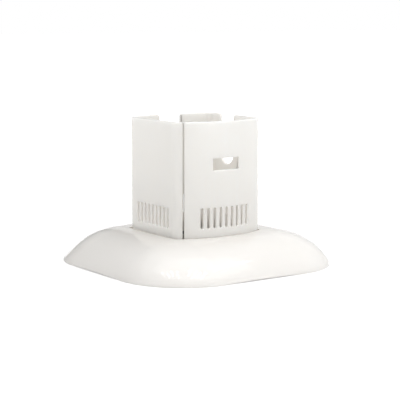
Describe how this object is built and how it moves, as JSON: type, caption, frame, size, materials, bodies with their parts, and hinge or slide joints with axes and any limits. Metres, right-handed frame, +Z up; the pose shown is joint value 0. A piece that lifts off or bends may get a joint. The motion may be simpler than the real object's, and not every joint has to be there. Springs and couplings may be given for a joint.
{
  "type": "cowl vent",
  "caption": "Open-top ventilated shroud tower with slotted walls, switch cut-out and U-notched rim, standing in a low flared dome skirt for a deck or bench.",
  "frame": {"origin": "middle of the plane the skirt and foot pads stand on", "axes": "+Z up; -Y faces the wall with the switch cut-out; +X is the wall with the narrower U-notch, +Y the wall with the wider one"},
  "size_m": [0.2266, 0.228, 0.142],
  "materials": {
    "tower_plastic": "glossy warm white moulding",
    "skirt_plastic": "glossy warm white moulding",
    "ring_plastic": "as moulded",
    "frame_plastic": "glass filled, as moulded",
    "gasket_foam": "closed-cell foam",
    "pad_rubber": "matt",
    "screw_steel": "passivated stainless",
    "insert_brass": "turned"
  },
  "bodies": {
    "root": {"tower_shroud": "tower_plastic", "skirt": "skirt_plastic", "boss_ring": "ring_plastic", "flange_gasket": "gasket_foam", "mounting_frame": "frame_plastic", "clamp_screws": "screw_steel", "clamp_washers": "screw_steel", "deck_inserts": "insert_brass", "foot_pads": "pad_rubber"}
  },
  "joints": []
}
